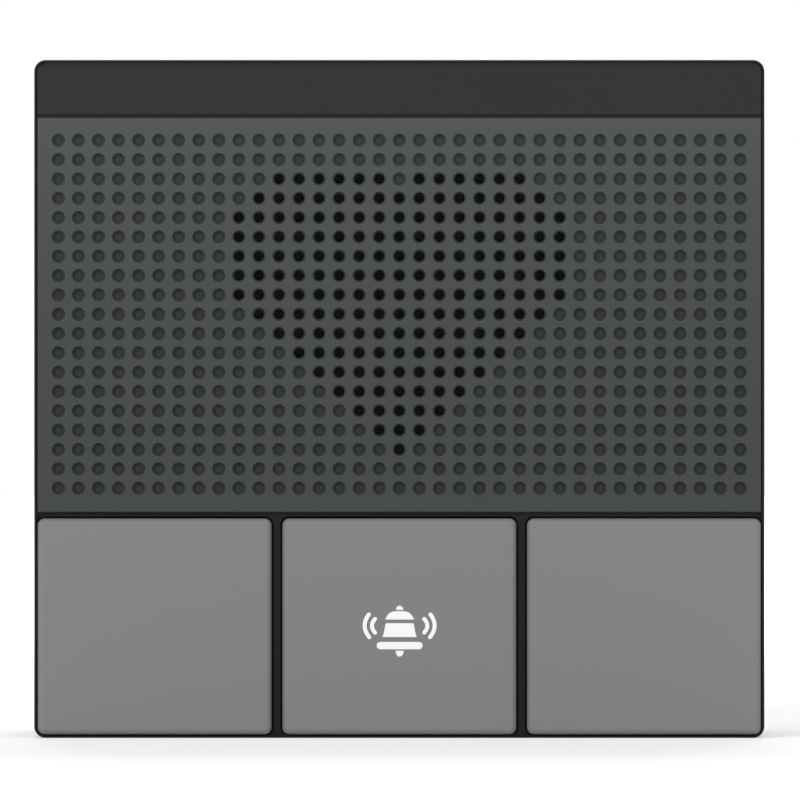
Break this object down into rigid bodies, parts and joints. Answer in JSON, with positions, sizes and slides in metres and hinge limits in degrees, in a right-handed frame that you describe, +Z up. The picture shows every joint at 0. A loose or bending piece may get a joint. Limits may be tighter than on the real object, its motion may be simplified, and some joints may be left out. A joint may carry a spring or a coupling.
{
  "type": "wall intercom",
  "caption": "Small square wall intercom: perforated speaker grille with heart-shaped open holes over three push keys, steel bracket behind.",
  "frame": {"origin": "on the wall plane, midway between the two wall screws, behind the middle of the front housing", "axes": "+Z up, +X to the right of someone facing it, the front looks along -Y and the wall is at y = 0"},
  "size_m": [0.095, 0.0332, 0.0882],
  "materials": {
    "housing": "fine matt texture, near black",
    "trim": "satin, dark grey",
    "grille": "matt, mid grey",
    "keys": "matt, light grey",
    "light_guide": "milky, translucent",
    "silicone": "matt silicone",
    "seal_foam": "closed-cell foam",
    "acoustic_fabric": "fine black mesh",
    "cone_paper": "pressed paper",
    "basket_steel": "black coated sheet",
    "magnet": "bare ferrite, dark",
    "bracket_steel": "zinc plated sheet",
    "screw_steel": "zinc plated",
    "circuit_board": "green solder resist",
    "component_black": "moulded resin",
    "capacitor_can": "plain metal can",
    "plunger_plastic": "moulded",
    "led_resin": "clear resin",
    "connector_white": "moulded nylon",
    "network_socket": "moulded nylon, black",
    "terminal_plastic": "moulded nylon, green"
  },
  "bodies": {
    "intercom": {"acoustic_mesh": "acoustic_fabric", "bay_seal": "seal_foam", "board_header": "component_black", "board_screws": "screw_steel", "capacitors": "capacitor_can", "case_screws": "screw_steel", "door_relay": "component_black", "front_housing": "housing", "housing_gasket": "seal_foam", "key_board": "circuit_board", "key_board_screws": "screw_steel", "key_leds": "led_resin", "key_switches": "component_black", "keypad_membrane": "silicone", "lock_screw": "screw_steel", "main_board": "circuit_board", "main_chips": "component_black", "mic_boot": "silicone", "microphone": "capacitor_can", "network_jack": "network_socket", "rear_cover": "housing", "shield_can": "capacitor_can", "speaker_basket": "basket_steel", "speaker_cone": "cone_paper", "speaker_gasket": "seal_foam", "speaker_grille": "grille", "speaker_magnet": "magnet", "speaker_plug": "connector_white", "speaker_screws": "screw_steel", "speaker_washers": "screw_steel", "terminal_block": "terminal_plastic", "top_trim": "trim", "wall_bracket": "bracket_steel"},
    "left_key": {"key_left": "keys", "plunger_left": "plunger_plastic"},
    "call_key": {"key_call": "keys", "light_guide": "light_guide", "plunger_call": "plunger_plastic"},
    "right_key": {"key_right": "keys", "plunger_right": "plunger_plastic"}
  },
  "joints": [
    {"name": "left_key_press", "type": "slide", "parent": "intercom", "child": "left_key", "axis": [0, 1, 0], "range_m": [0, 0.0005], "stiffness_N_per_m": 3200, "springref_m": -0.0002, "deforming": ["keypad_membrane"]},
    {"name": "call_key_press", "type": "slide", "parent": "intercom", "child": "call_key", "axis": [0, 1, 0], "range_m": [0, 0.0005], "stiffness_N_per_m": 3200, "springref_m": -0.0002, "deforming": ["keypad_membrane"]},
    {"name": "right_key_press", "type": "slide", "parent": "intercom", "child": "right_key", "axis": [0, 1, 0], "range_m": [0, 0.0005], "stiffness_N_per_m": 3200, "springref_m": -0.0002, "deforming": ["keypad_membrane"]}
  ]
}
